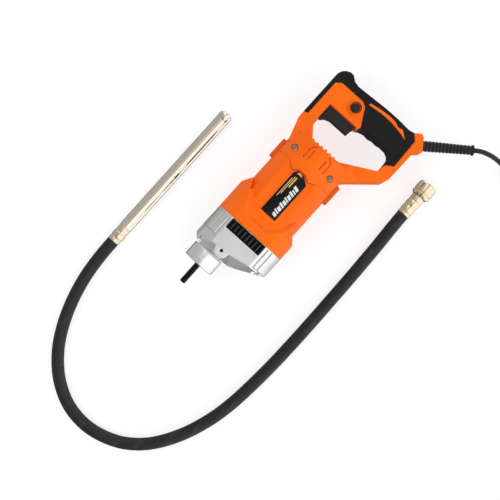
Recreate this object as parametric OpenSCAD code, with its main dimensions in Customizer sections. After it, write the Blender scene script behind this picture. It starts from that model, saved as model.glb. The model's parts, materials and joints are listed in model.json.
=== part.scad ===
// Hand-held electric concrete vibrator, lying on its side, with its flexible shaft and poker beside it.
// Millimetres. +Z is up and the floor is z = 0. The tool lies along X, with its nose towards -X.
// Inside each tool module x = 0 is the joint between casting and housing.
// There y = z = 0 is the motor's axis.

/* [Motor housing] */
// Radius of the motor barrel
barrel_r = 51.5; // [51:0.1:52]
// Radius of the front flange
flange_r = 61; // [60:0.5:62]
// Distance from the motor's axis to the flat side of the flange, which the tool lies on
lie_z = 51.5; // [51.5:0.1:52]
// Distance from the motor's axis to the flat side of the barrel
barrel_flat = 43.5; // [43:0.5:45]
// Where the handle shells meet the motor housing
seam_x = 119; // [118:0.5:120]

/* [Drive] */
// Distance from the motor's axis to the spindle's axis
spindle_y = 26.5; // [26.5:0.1:26.6]
// Diameter of the spindle's free end
spindle_d = 9; // [8:0.1:9]
// Length of spindle that stands out of the clamp collar
spindle_out = 36.5; // [30:0.5:40]
// Teeth of the motor pinion
pinion_teeth = 13; // [13:1:13]
// Teeth of the spindle gear
gear_teeth = 40; // [40:1:40]

/* [Clamp collar] */
// Outer diameter of the clamp collar
collar_d = 51; // [49:0.5:52]
// Diameter of the collar's socket
socket_d = 31; // [30.8:0.1:32]

/* [Handle] */
// Thickness of the orange handle
handle_t = 43; // [42:1:44]
// Thickness of the rubber grip
grip_t = 45; // [45:1:46]
// Travel of the trigger
trigger_travel = 7; // [5:0.5:7]
// Travel of the lock button
lock_travel = 3.5; // [2:0.5:3.5]

/* [Mains cord] */
// Diameter of the mains cord
cord_d = 7.4; // [7:0.1:8]
// Length of the strain relief outside the gland
relief_len = 80; // [76:1:82]
// Radius at the middle of the coil's turns
coil_r = 40.7; // [40:0.1:42]

/* [Flexible shaft] */
// Outer diameter of the hose
hose_d = 19.4; // [19:0.1:20]
// Outer diameter of the poker
poker_d = 20.8; // [20.6:0.1:21]
// Length of the poker's tube, without its tip and ferrule
poker_tube_len = 223; // [220:1:230]
// Outer diameter of the coupling nut
nut_d = 30; // [29:0.5:30.5]

/* [Hidden] */
$fn = 64;
MESH_FN = 32;

// Colours
orange = [0.95, 0.38, 0.05];
dark_orange = [0.8, 0.3, 0.04];
black = [0.12, 0.12, 0.13];
alloy = [0.8, 0.81, 0.82];
steel = [0.65, 0.66, 0.68];
gold = [0.85, 0.72, 0.45];
copper = [0.75, 0.42, 0.2];

// Casting and drive
casing_x0 = -60;
wall = 5;
flat_y = sqrt(pow(flange_r, 2) - pow(lie_z, 2));
cavity_r = 47.5;
collar_x0 = -86.5;
collar_x1 = -62.5;
neck_r = 20;
socket_x1 = -67;
spindle_x0 = collar_x0 - spindle_out;
spindle_x1 = -19.5;
journal_r = 6;
running = 0.05;
bearing_w = 7;
plate_x0 = -27;
plate_x1 = -19;
gear_x0 = -42;
gear_w = 12;
fan_x0 = -15;
module_size = 1;
screw_spots = [[46.5, 24], [46.5, -24], [-45, 29], [-45, -29]];
key_w = 2;
key_h = 1.2;

// Motor
rotor_r = 5;
core_x0 = 24;
core_x1 = 83;
stator_r = 44;
bore_r = 27;
brush_x = 122;
commutator_r = 15;
rear_bearing_x = 140;

// Handle
half_t = handle_t / 2;
half_grip = grip_t / 2;
shell_wall = 3;
skin = 3;
screw_x = 136;
screw_y = 34.5;
trigger_half = 9;
lock_at = [241, 7];
lock_r = 6.4;
lock_boss_r = 10.8;
trigger_rear = 226;
gland_at = [268, -103];
gland_turn = -53;
gland_dir = [cos(gland_turn), sin(gland_turn)];
relief_r0 = 8.7;
relief_r1 = 7;
relief_ring_r = 8.3;

// Flexible shaft
coupling_at = [179, -156, nut_d / 2 + 0.2];
poker_at = [-150, 149, poker_d / 2];
ferrule_len = 28;
core_r = 4;
hose_bore_r = 5.6;
tip_len = 12.4;

// Middle of the part's box, without the cord and hose, which is the origin of the whole part
box_x0 = poker_at[0];
box_x1 = gland_at[0] + relief_len * gland_dir[0] - relief_ring_r * gland_dir[1];
relief_low = gland_at[1] + relief_len * gland_dir[1] - relief_ring_r * gland_dir[0];
box_y0 = min(relief_low, coupling_at[1] - nut_d / 2);
box_y1 = poker_at[1] + poker_d / 2;
mid = [(box_x0 + box_x1) / 2, (box_y0 + box_y1) / 2];

// Outline of the handle, from the barrel round the back to the gland boss
handle_outer = [
    [148, 50], [159, 50], [166, 56], [172, 60], [178, 61], [261, 61], [268, 58.5], [273, 53.5],
    [275.8, 47], [275.4, 41], [269.5, 33], [267.6, 24], [268.5, 9], [270.8, -27], [271, -52], [269.8, -73.5],
    [272, -82.7], [279, -91.5], [276.5, -97], [258.5, -110.3], [250, -101], [196, -100.2], [186, -97],
    [141, -46]
];
// Finger opening of the handle
finger_hole = [
    [162.5, 21.5], [182.7, 38.6], [196, 39], [221, 39], [221, -14], [218.5, -13], [223.5, -20],
    [226, -28.5], [225.2, -37.5], [227, -45], [226.4, -52.5], [227.8, -60], [227.4, -70], [224.5, -76.5],
    [219.5, -80.5], [207, -81.5], [194.5, -81], [162.5, -23.5]
];
// The black grip's area in the side view
grip_area = [
    [185.3, 70], [290, 70], [290, -60], [271.4, -82.3], [263, -91.2], [214.5, -93], [212, -87.8],
    [207, -81.7], [203, -75], [217, -12.8], [223.7, -18.6], [252, -2.7], [255.8, 4.8], [255.8, 46.5],
    [249.5, 54.5], [188.6, 54.5]
];
// Orange stripe in the side of the grip
stripe = [
    [257.4, -4.4], [260.3, -27], [260.3, -47], [257, -68.6], [254, -79.4], [263.6, -67], [261.9, -58.5],
    [265.2, -51], [266.1, -40], [264.5, -23.6], [261.2, -5.3]
];
// Front edge of the handle shells, with the two prongs beside the label
shell_front = [
    [seam_x, 70], [seam_x, 30], [109.5, 15.6], [115, 6], [115, -5], [109.5, -14.4], [seam_x, -33.5],
    [seam_x, -70], [300, -130], [300, 70]
];
// Side view of the flange of the motor housing, scooped towards the nose
flange_side = [
    [0, flange_r], [48.5, flange_r], [64, 50], [37, 36], [15, 14], [15, -16], [35, -41], [36, -52],
    [26.5, -flange_r], [0, -flange_r]
];
// Side view of the casting at its middle, and of its flat top
casing_mid = [
    [casing_x0, 4], [casing_x0, 46], [-58, 53], [-51, flange_r], [0, flange_r], [0, -flange_r],
    [-35, -flange_r], [-43, -42], [-55, -19], [-59, -8]
];
casing_top = [[-47, flat_y], [0, flat_y], [0, -flat_y], [-38, -flat_y], [-45, 0]];

// Route of the mains cord from the strain relief to the coil
cord_route = [
    [316.2, -166.9, 51.5], [320.4, -172.6, 51.2], [325, -180.5, 49], [329, -190, 44.5], [332.5, -200, 38],
    [335, -211, 29.5], [336, -223, 20.5], [336, -236, 12.5], [335, -250, 7], [333.5, -264, 4.7],
    [332, -278, 4.6], [330.8, -290, 4.9], [330.2, -300, 4.9]
];
// Route of the short lead from the coil to the plug
lead_route = [
    [430.1, -300, 11.4], [430.6, -292, 11.8], [432, -283, 13], [435, -275, 14.4], [436, -269, 15],
    [436, -266, 15]
];
// Route of the hose from the coupling round to the poker
hose_route = [
    [179, -156, 15.2], [176, -156, 15.2], [165, -156.4, 14.6], [150, -157.2, 12.8], [134, -158.3, 10.8],
    [118, -159.3, 9.8], [90, -160.3, 9.8], [60, -161.2, 9.8], [30, -161.8, 9.8], [0, -162.3, 9.8],
    [-30, -162.7, 9.8], [-60, -162.9, 9.8], [-90, -162.8, 9.8], [-120, -162.3, 9.8], [-147, -161.2, 9.8],
    [-172, -159.6, 9.8], [-197, -157.5, 9.8], [-220, -154.6, 9.8], [-244, -150, 9.8], [-267, -143.6, 9.8],
    [-290, -135.3, 9.8], [-311, -125.3, 9.8], [-330, -114, 9.8], [-347, -101, 9.8], [-361, -86.5, 9.8],
    [-373, -69.5, 9.8], [-382, -50, 9.8], [-388, -29, 9.8], [-390.5, -7, 9.8], [-388.5, 16, 9.8],
    [-382.5, 37, 9.8], [-372.5, 56.5, 9.8], [-359.5, 74.5, 9.8], [-343, 91, 9.8], [-324, 105.5, 9.8],
    [-302, 118, 9.8], [-278, 128.5, 9.8], [-252, 137, 9.8], [-225, 143.3, 9.8], [-200, 146.8, 9.9],
    [-175, 148.6, 10.2], [-154, 149, 10.4], [-150, 149, 10.4]
];
coil_at = [382, -300];
coil_base = 1.2;
coil_h = cord_d + 6.4;
plug_at = [436, -266, 15];
plug_r = 14.5;
plug_len = 62;

// Straight circular forms along X
module rod(x0, x1, r) {
    translate([x0, 0, 0]) rotate([0, 90, 0]) cylinder(h = x1 - x0, r = r);
}
module pipe(x0, x1, r, bore) {
    difference() {
        rod(x0, x1, r);
        rod(x0 - 1, x1 + 1, bore);
    }
}
// A flat drawing in Y and Z, extruded along X
module along_x(x0, length) {
    translate([x0, 0, 0]) rotate([90, 0, 90]) linear_extrude(length) children();
}
// A flat drawing in X and Y, extruded up from z0
module side(z0, z1) {
    translate([0, 0, z0]) linear_extrude(z1 - z0) children();
}
// Box between two corners
module block(a, b) {
    translate(a) cube(b - a);
}
// The tool in its lying place, and the spindle's axis
module lay() {
    translate([-mid[0], -mid[1], lie_z]) children();
}
module on_spindle() {
    lay() translate([0, spindle_y, 0]) children();
}
// Pieces on the floor: z starts at the floor
module on_floor() {
    translate([-mid[0], -mid[1], 0]) children();
}
module at_coupling() {
    on_floor() translate(coupling_at) children();
}
module at_poker() {
    on_floor() translate(poker_at) children();
}
// A copy of the children, and its mirror image across the motor's axis
module both_ends() {
    children();
    mirror([0, 1, 0]) children();
}
module both_sides() {
    children();
    mirror([0, 0, 1]) children();
}

// Swept tube along a route: rings of points, joined into one closed surface
function unit(v) = v / norm(v);
function heading(p, i) = unit(p[min(i + 1, len(p) - 1)] - p[max(i - 1, 0)]);
function across(t) = unit(cross([0, 0, 1], t));
function ring(p, i, r, n) = let (t = heading(p, i), u = across(t), w = cross(t, u))
    [for (k = [0 : n - 1]) p[i] + r * (cos(360 * k / n) * u + sin(360 * k / n) * w)];
function skin_faces(count, n, flip) = [
    for (i = [0 : count - 2], k = [0 : n - 1])
        let (a = i * n + k, b = i * n + (k + 1) % n, c = a + n, d = b + n)
        each flip ? [[a, d, b], [a, c, d]] : [[a, b, d], [a, d, c]]
];
module sweep(route, r, n) {
    count = len(route);
    points = [for (i = [0 : count - 1]) each ring(route, i, r, n)];
    caps = [[for (k = [0 : n - 1]) k], [for (k = [n - 1 : -1 : 0]) (count - 1) * n + k]];
    polyhedron(points, concat(skin_faces(count, n, true), caps), convexity = 6);
}
// The same with a bore through it
module sweep_hollow(route, r, bore, n) {
    count = len(route);
    shift = count * n;
    last = (count - 1) * n;
    points = [for (q = [r, bore], i = [0 : count - 1]) each ring(route, i, q, n)];
    inner = [for (f = skin_faces(count, n, false)) [f[0] + shift, f[1] + shift, f[2] + shift]];
    caps = [for (k = [0 : n - 1]) let (j = (k + 1) % n)
        each [[k, j, j + shift], [k, j + shift, k + shift],
              [last + j, last + k, last + k + shift], [last + j, last + k + shift, last + j + shift]]];
    polyhedron(points, concat(skin_faces(count, n, true), inner, caps), convexity = 8);
}
// Helical wire along X, for springs
module helix(x0, x1, r, wire, turns) {
    steps = turns * 12;
    rise = (x1 - x0 - 2 * wire) / steps;
    route = [for (i = [0 : steps]) [x0 + wire + rise * i, r * cos(30 * i), r * sin(30 * i)]];
    sweep_free(route, wire, 5);
}
// Sweep whose rings are set against X, for routes that wind round it
function ring_x(p, i, r, n) = let (t = heading(p, i), u = unit(cross([1, 0, 0], t)), w = cross(t, u))
    [for (k = [0 : n - 1]) p[i] + r * (cos(360 * k / n) * u + sin(360 * k / n) * w)];
module sweep_free(route, r, n) {
    count = len(route);
    points = [for (i = [0 : count - 1]) each ring_x(route, i, r, n)];
    caps = [[for (k = [0 : n - 1]) k], [for (k = [n - 1 : -1 : 0]) (count - 1) * n + k]];
    polyhedron(points, concat(skin_faces(count, n, true), caps), convexity = 6);
}

// Gear tooth outline: involute flanks on a base circle, 20 degrees of pressure angle
function involute(r, base) = r <= base ? 0 : sqrt(pow(r / base, 2) - 1) * 180 / PI - acos(base / r);
function half_tooth(r, pitch, n, slack) = let (base = pitch * cos(20))
    90 / n - slack + involute(pitch, base) - involute(r, base);
function gear_outline(n, tip, root, slack, turn) = let (
    pitch = module_size * n / 2,
    radii = [for (s = [0 : 4]) pitch - root + (root + tip) * s / 4]
) [
    for (t = [0 : n - 1]) each concat(
        [for (r = radii) let (a = 360 * t / n + turn - half_tooth(r, pitch, n, slack))
            [r * cos(a), r * sin(a)]],
        [for (s = [4 : -1 : 0]) let (r = radii[s], a = 360 * t / n + turn + half_tooth(r, pitch, n, slack))
            [r * cos(a), r * sin(a)]]
    )
];

// ---- Nose casting and drive ----

module gear_casing() {
    color(alloy) lay() difference() {
        union() {
            intersection() {
                rod(-35, 0, flange_r);
                block([-36, -70, -lie_z], [1, 70, lie_z]);
            }
            hull() {
                intersection() {
                    side(-24, 24) polygon(casing_mid);
                    rod(-70, 0, flange_r - 1, $fn = MESH_FN);
                }
                side(-lie_z, lie_z) polygon(casing_top);
            }
            intersection() {
                side(-14, 14) polygon(casing_mid);
                rod(-70, 0, flange_r);
            }
            translate([-47.4, 12.8, 0]) cylinder(h = lie_z, r = 11);
            translate([0, spindle_y, 0]) rod(-66, -50, neck_r);
        }
        intersection() {
            rod(-50, 1, cavity_r);
            block([-27, -60, -lie_z + wall], [2, 60, lie_z - wall]);
        }
        hull() {
            translate([0, spindle_y, 0]) rod(-50, -26, 24, $fn = MESH_FN);
            rod(-45, -26, 18, $fn = MESH_FN);
        }
        translate([0, spindle_y, 0]) {
            rod(-70, -40, journal_r + 1.5);
            rod(-60, -40, 14);
            rod(-70, -62, 11);
        }
        for (m = [-1, 1]) block([-17.7, -31.6, m * 50 - 6], [-0.7, 31.6, m * 50 + 6]);
        for (s = screw_spots) translate([0, s[0], s[1]]) {
            rod(-30, 1, 2.6);
            rod(-80, -24, 5);
        }
        translate([-47.4, 12.8, lie_z - 12]) cylinder(h = 13, r = 2.5);
        translate([-52.8, 49.2, 0]) cylinder(h = 60, r = 2.5);
    }
}

module gear_plate() {
    color(alloy) lay() difference() {
        intersection() {
            rod(plate_x0 + 0.1, plate_x1, cavity_r - 0.1);
            block([-40, -60, 0.1 - lie_z + wall], [0, 60, lie_z - wall - 0.1]);
        }
        rod(-40, 0, 8);
        rod(plate_x0 + 1, 0, 13);
        translate([0, spindle_y, 0]) {
            rod(-40, 0, journal_r + 1.5);
            rod(-40, plate_x1 - 1, 11.5);
        }
    }
}

module air_vents() {
    color(black) lay() both_sides() difference() {
        block([-17.5, -31.4, 46.8], [-0.9, 31.4, 50.9]);
        for (i = [-4 : 4]) block([-15.5, i * 6.9 - 2.1, 47.4], [-2.9, i * 6.9 + 2.1, 60]);
    }
}

module casing_screws() {
    color(steel) lay() for (s = screw_spots) translate([0, s[0], s[1]]) {
        rod(-24, 22, 2.4);
        difference() {
            rod(-29, -24, 4.4);
            rod(-30, -26.5, 2.3, $fn = 6);
        }
    }
}

module clamp_collar() {
    color(alloy) on_spindle() difference() {
        union() {
            rod(collar_x0 + 1, collar_x1 - 1, collar_d / 2);
            rod(collar_x0, collar_x1, collar_d / 2 - 1);
        }
        rod(collar_x0 - 1, socket_x1, socket_d / 2);
        rod(socket_x1 - 1, collar_x1 + 1, 12);
        rod(-66.1, collar_x1 + 1, neck_r + 0.05);
        block([collar_x0 - 1, -40, -1.2], [collar_x1 + 1, -10, 1.2]);
        translate([-74.5, -20.5, 0]) {
            translate([0, 0, -30]) cylinder(h = 43.2, r = 2.7);
            translate([0, 0, -20]) cylinder(h = 11, r = 4.6);
        }
    }
}

module pinch_screw() {
    color(steel) on_spindle() translate([-74.5, -20.5, 0]) {
        translate([0, 0, -9]) cylinder(h = 22, r = 2.4);
        difference() {
            translate([0, 0, -13.5]) cylinder(h = 4.5, r = 4.3);
            translate([0, 0, -14]) cylinder(h = 2.8, r = 2.3, $fn = 6);
        }
    }
}

module spindle() {
    color(black) on_spindle() difference() {
        union() {
            rod(spindle_x0 + 1, -68, spindle_d / 2);
            rod(spindle_x0, -68, spindle_d / 2 - 0.8);
            rod(-68, spindle_x1, journal_r);
        }
        block([spindle_x0 - 1, -key_w / 2, spindle_d / 2 - key_h], [spindle_x0 + 28, key_w / 2, 10]);
    }
}

module spindle_gear() {
    color(steel) on_spindle() difference() {
        union() {
            along_x(gear_x0, gear_w)
                polygon(gear_outline(gear_teeth, 0.9, 1.2, 0.25, 180 + 180 / gear_teeth));
            rod(gear_x0 + gear_w, gear_x0 + gear_w + 2, 11);
        }
        rod(-80, 0, journal_r);
    }
}

module spindle_bearings() {
    color(steel) on_spindle() {
        pipe(-60, -60 + bearing_w, 14, journal_r + running);
        pipe(plate_x0 + 0.2, plate_x0 + 0.2 + bearing_w - 0.2, 11.5, journal_r + running);
    }
}

module spindle_seal() {
    color(black) on_spindle() pipe(-66, -62, 11, journal_r + running);
}

// ---- Motor ----

module motor_housing() {
    color(orange) lay() difference() {
        union() {
            intersection() {
                rod(0, seam_x, barrel_r);
                block([-1, -60, -barrel_flat], [seam_x + 1, 60, barrel_flat]);
                side(-60, 60) difference() {
                    square([400, 200], center = true);
                    polygon(shell_front);
                }
            }
            intersection() {
                rod(0, 70, flange_r);
                side(-lie_z, lie_z) polygon(flange_side);
            }
            intersection() {
                rod(100, 150, 46);
                block([100, -60, -barrel_flat + 3.2], [150, 60, barrel_flat - 3.2]);
            }
        }
        intersection() {
            rod(-1, 137, stator_r + 0.1);
            block([-2, -60, -39.6], [137, 60, 39.6]);
        }
        intersection() {
            rod(-1, 20, cavity_r);
            block([-2, -60, -barrel_flat + 3], [20, 60, barrel_flat - 3]);
        }
        rod(130, 160, 11);
        for (a = [0 : 60 : 300]) rotate([a, 0, 0]) translate([0, 27, 0]) rod(130, 160, 9);
        for (s = screw_spots) translate([0, s[0], s[1]]) rod(-1, 24, 2.45);
        for (m = [-1, 1]) block([brush_x - 5.1, m * 40 - 20, -8.1], [brush_x + 5.1, m * 40 + 20, 8.1]);
        side(-60, 60) at_screws() circle(5.3);
        for (m = [-1, 1]) block([106.3, m * 52 - 4.6, -13.2], [seam_x + 1, m * 52 + 4.6, 13.2]);
    }
}

module stator_core() {
    color(steel) lay() difference() {
        intersection() {
            rod(core_x0, core_x1, stator_r);
            block([0, -60, -39.5], [100, 60, 39.5]);
        }
        rod(0, 100, bore_r);
        for (m = [-1, 1], k = [-1, 1])
            block([0, m * 29.5 - 3.8, k * 21 - 4.3], [100, m * 29.5 + 3.8, k * 21 + 4.3]);
    }
}

module field_coils() {
    color(copper) lay() both_ends() difference() {
        block([core_x0 - 7, 26, -25], [core_x1 + 7, 33, 25]);
        block([core_x0, 20, -17], [core_x1, 40, 17]);
    }
}

module rotor_shaft() {
    color(steel) lay() {
        rod(-44, 148, rotor_r);
        along_x(gear_x0, gear_w) polygon(gear_outline(pinion_teeth, 1, 1.2, 0.7, 0));
    }
}

module armature_core() {
    color(steel) lay() difference() {
        rod(core_x0 + 1, core_x1 - 1, bore_r - 1);
        rod(0, 100, rotor_r);
        for (a = [0 : 30 : 330]) rotate([a, 0, 0]) block([0, 16, -1.5], [100, 40, 1.5]);
    }
}

module armature_windings() {
    color(copper) lay() {
        pipe(core_x0 - 8, core_x0 + 1, 22, rotor_r);
        pipe(core_x1 - 1, core_x1 + 10, 22, rotor_r);
    }
}

module commutator() {
    color(copper) lay() difference() {
        union() {
            rod(brush_x - 12, brush_x + 10, commutator_r);
            rod(brush_x - 14, brush_x - 11, commutator_r + 2);
        }
        rod(50, 150, rotor_r);
        for (a = [0 : 30 : 330]) rotate([a, 0, 0]) block([100, commutator_r - 1, -0.4], [150, 30, 0.4]);
    }
}

module fan() {
    color(black) lay() difference() {
        union() {
            rod(fan_x0, fan_x0 + 2, 42);
            rod(fan_x0, fan_x0 + 12.4, 11);
            for (a = [0 : 30 : 330]) rotate([a, 0, 0]) block([fan_x0 + 1, 10, -1], [fan_x0 + 12, 41, 1]);
        }
        rod(-40, 40, rotor_r);
    }
}

module rotor_front_bearing() {
    color(steel) lay() pipe(plate_x0 + 1, plate_x0 + 1 + bearing_w, 13, rotor_r + running);
}

module rotor_rear_bearing() {
    color(steel) lay() pipe(rear_bearing_x, rear_bearing_x + bearing_w, 11, rotor_r + running);
}

module brush_holders() {
    color(gold) lay() both_ends() difference() {
        block([brush_x - 5, 18, -8], [brush_x + 5, 47, 8]);
        block([brush_x - 3.5, 10, -6.5], [brush_x + 3.5, 46, 6.5]);
    }
}

module carbon_brushes() {
    color(black) lay() both_ends()
        block([brush_x - 3.4, commutator_r + 0.3, -6.4], [brush_x + 3.4, 32, 6.4]);
}

module brush_springs() {
    color(steel) lay() both_ends() translate([brush_x, 0, 0]) rotate([0, 0, 90]) helix(32, 46, 2.4, 0.4, 5);
}

module brush_covers() {
    color(dark_orange) lay() both_ends() intersection() {
        block([106.5, 47.5, -13], [138.5, 56.8, 13]);
        rod(100, 150, 56.8);
    }
}

module label_plate() {
    color(black) lay() side(barrel_flat, barrel_flat + 0.6)
        polygon([[36, 11], [107, 11], [113, 7], [113, -4], [104, -16], [36, -16]]);
}

// ---- Handle ----

module handle_flat() {
    difference() {
        polygon(handle_outer);
        polygon(finger_hole);
    }
}

// Where the two screws clamp the handle halves together
module at_screws() {
    for (m = [-1, 1]) translate([screw_x, m * screw_y]) children();
}

// One half of the handle, above the motor's axis, with or without the lock button's boss
module handle_half(has_lock) {
    difference() {
        union() {
            difference() {
                handle_outside(has_lock);
                handle_inside();
            }
            side(0, 32) at_screws() circle(5);
        }
        side(-1, 60) at_screws() circle(2.3);
        side(31, 60) at_screws() circle(5);
        if (has_lock) {
            side(-1, 60) translate(lock_at) circle(lock_r + 0.4);
            side(half_t - 0.1, 60) translate(lock_at) circle(lock_boss_r - 1.8);
        }
    }
}

module handle_outside(has_lock) {
    intersection() {
        rod(100, 162.5, barrel_r);
        side(0, 60) intersection() {
            polygon(shell_front);
            translate([100, -60]) square([62.5, 120]);
        }
    }
    side(0, half_t) difference() {
        handle_flat();
        polygon(grip_area);
    }
    side(0, half_grip - skin - 0.1) offset(delta = -skin - 0.1) handle_flat();
    hull() {
        side(0, half_t)
            polygon([[140, 49.5], [159, 49.5], [172, 59.5], [183, 38.7], [162, 21.5], [140, 21.5]]);
        block([140, 22, 0], [150, 46, half_t + 6]);
    }
    hull() {
        side(0, half_t) polygon([[140, -46], [162, -24], [174, -44.5], [160, -67]]);
        block([140, -43, 0], [150, -24, half_t + 6]);
    }
    if (has_lock) side(0, 26) translate(lock_at) intersection() {
        circle(lock_boss_r);
        translate([-14, -14]) square([28, 30]);
    }
}

module handle_inside() {
    intersection() {
        rod(100, 158.5, barrel_r - shell_wall);
        side(-1, 60) translate([90, -49]) square([69, 98]);
    }
    side(-1, half_t - shell_wall) intersection() {
        offset(delta = -skin - 3.5) handle_flat();
        translate([180, -150]) square([200, 300]);
    }
    side(-1, trigger_half + 0.6) translate([215, -15]) square([trigger_rear + trigger_travel - 215, 54.2]);
    translate([gland_at[0], gland_at[1], 0]) rotate([0, 0, gland_turn]) rod(-14, 30, relief_r0 + 0.1);
    for (i = [0 : 5]) block([159, 14.6 - i * 7.8, 35], [170, 18.4 - i * 7.8, 60]);
    for (m = [-1, 1]) block([106.3, m * 52 - 4.6, -1], [138.7, m * 52 + 4.6, 13.2]);
}

module handle_shell_upper() {
    color(orange) lay() handle_half(true);
}

module handle_shell_lower() {
    color(orange) lay() mirror([0, 0, 1]) handle_half(false);
}

module grip_half(has_lock) {
    difference() {
        side(0, half_grip) intersection() {
            handle_flat();
            polygon(grip_area);
        }
        side(-1, half_grip - skin) offset(delta = -skin) handle_flat();
        side(half_grip - 1.2, 60) polygon(stripe);
        side(-1, trigger_half + 0.6) translate([190, -14.5]) square([33, 60]);
        if (has_lock) side(-1, 60) translate(lock_at) circle(lock_boss_r + 0.2);
    }
}

module rubber_grip_upper() {
    color(black) lay() grip_half(true);
}

module rubber_grip_lower() {
    color(black) lay() mirror([0, 0, 1]) grip_half(false);
}

module grip_stripes() {
    color(orange) lay() both_sides() side(half_grip - 1.1, half_grip + 0.3)
        offset(delta = -0.1) polygon(stripe);
}

module handle_screws() {
    color(steel) lay() at_screws() difference() {
        union() {
            side(-30, 31) circle(2.2);
            side(31, 33.6) circle(3.8);
        }
        block([-3, -0.5, 32.6], [3, 0.5, 40]);
    }
}

module trigger() {
    color(black) lay() difference() {
        side(-trigger_half, trigger_half) polygon([
            [196, 38.3], [220, 38.3], [trigger_rear, 36], [trigger_rear, -12.5], [220, -13.2],
            [213.5, -10.5], [204.5, -9.5], [204.5, 23], [201.2, 31.5], [197, 34.8]
        ]);
        translate([0, 17.5, 0]) rod(223, 230, 4.2);
    }
    color(black) lay() translate([0, 17.5, 0]) rod(222.5, 230, 2);
}

module trigger_spring() {
    color(steel) lay() translate([0, 17.5, 0]) helix(223.1, 235.6, 3.2, 0.4, 5);
}

module lock_button() {
    color(black) lay() translate(lock_at) {
        side(15, half_t + 2.4 + lock_travel) circle(lock_r);
        side(14.2, 15.1) circle(2);
    }
}

module lock_spring() {
    color(steel) lay() translate([lock_at[0], lock_at[1], 0]) rotate([0, -90, 0])
        helix(11, 14.9, 3.2, 0.35, 3);
}

module switch_body() {
    color(black) lay() difference() {
        side(-10.5, 10.5) translate([236, -2]) square([13, 42]);
        translate([0, 17.5, 0]) rod(235, 248, 4.6);
        side(5, 11) translate(lock_at) circle(4.4);
    }
}

// The gland's place: X runs out of the handle along the cord
module at_gland() {
    lay() translate([gland_at[0], gland_at[1], 0]) rotate([0, 0, gland_turn]) children();
}

module cord_clamp() {
    color(black) at_gland() difference() {
        block([-30, -11, -5.5], [-20, 11, 5.5]);
        rod(-40, 0, cord_d / 2);
        for (m = [-1, 1]) translate([-25, m * 8, -10]) cylinder(h = 20, r = 1.6);
    }
}

module clamp_screws() {
    color(steel) at_gland() for (m = [-1, 1]) translate([-25, m * 8, 0]) {
        translate([0, 0, -9]) cylinder(h = 14.5, r = 1.5);
        translate([0, 0, 5.5]) cylinder(h = 1.8, r = 2.8);
    }
}

module switch_leads() {
    route = [[251, -78, 0], [247, -62, 2], [245, -45, 3], [244, -25, 2], [243, -10, 0], [242.5, -2, 0]];
    color(copper) lay() for (k = [-3, 3]) translate([0, 0, k]) sweep(route, 1.3, 8);
}

module strain_relief() {
    color(black) at_gland() difference() {
        rotate([0, 90, 0]) rotate_extrude() polygon([
            [0, -12], [relief_r0, -12], [relief_r0, 0],
            for (i = [0 : 11])
                let (x = 6 + i * 5.6, r = relief_r0 - (relief_r0 - relief_r1) * x / relief_len)
                each [[r, x], [r - 1, x + 0.6], [r - 1, x + 2], [r, x + 2.6]],
            [relief_r1, relief_len - 3], [relief_ring_r, relief_len - 3], [relief_ring_r, relief_len],
            [0, relief_len]
        ]);
        rod(-20, relief_len - 4, cord_d / 2);
    }
}

// The cord inside the clamp and the strain relief
module cord_end() {
    color(black) at_gland() rod(-29.5, relief_len - 4.1, cord_d / 2 - 0.05);
}

// ---- Mains cord ----

module mains_cord() {
    color(black) on_floor() sweep(cord_route, cord_d / 2, 8);
}

module cord_coil() {
    outer = coil_r + 2 * cord_d;
    inner = coil_r - 2 * cord_d;
    color(black) on_floor() translate([coil_at[0], coil_at[1], coil_base]) rotate_extrude() polygon([
        [inner, 0], [outer, 0], [outer, cord_d], [outer - cord_d / 2, coil_h], [inner + cord_d / 2, coil_h],
        [inner, cord_d]
    ]);
}

module cord_tie() {
    color(black) on_floor() translate([coil_at[0], coil_at[1] + coil_r, 0]) difference() {
        block([-5, -2 * cord_d - 2.2, 0], [5, 2 * cord_d + 1.4, coil_h + coil_base + 1.2]);
        block([-6, -2 * cord_d - 1, coil_base], [6, 2 * cord_d + 0.2, coil_h + coil_base + 0.05]);
    }
}

module plug_lead() {
    color(black) on_floor() sweep(lead_route, cord_d / 2, 8);
}

module plug_body() {
    color(black) on_floor() translate(plug_at) rotate([-90, 0, 0]) rotate_extrude() polygon([
        [0, 0], [5.2, 0], [7, 24], [9.5, 26], [13.5, 32], [plug_r, 38], [plug_r, plug_len - 2],
        [plug_r - 1.2, plug_len], [0, plug_len]
    ]);
}

module plug_pins() {
    color(steel) on_floor() translate(plug_at) for (m = [-1, 1])
        translate([m * 9.5, plug_len, 0]) rotate([-90, 0, 0]) {
            cylinder(h = 17.5, r = 2.4);
            cylinder(h = 19, r = 1.8);
        }
}

// ---- Flexible shaft and poker ----

module hose() {
    color(black) on_floor() sweep_hollow(hose_route, hose_d / 2, hose_bore_r, 12);
}

module drive_core() {
    color(steel) on_floor() sweep(hose_route, core_r, 8);
}

module hose_ferrule() {
    color(gold) at_coupling() difference() {
        rotate([0, 90, 0]) rotate_extrude() polygon([
            [7.5, 0], [9.8, 0], [10.4, 1], [10.4, 4.5], [9.5, 5.5], [10.5, 8], [10.5, 14.5], [9.6, 16],
            [10.5, 18.5], [10.5, 25.5], [9.7, 27], [10.6, 29], [10.6, 36.5], [7.5, 36.5]
        ]);
        rod(-1, 40, 7.5);
    }
}

module hose_fitting() {
    color(steel) at_coupling() difference() {
        union() {
            rod(0, 43, 7.5);
            rod(42.3, 45, 11);
        }
        rod(-1, 50, core_r + 0.3);
        rod(5, 50, 6.5);
    }
}

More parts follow.
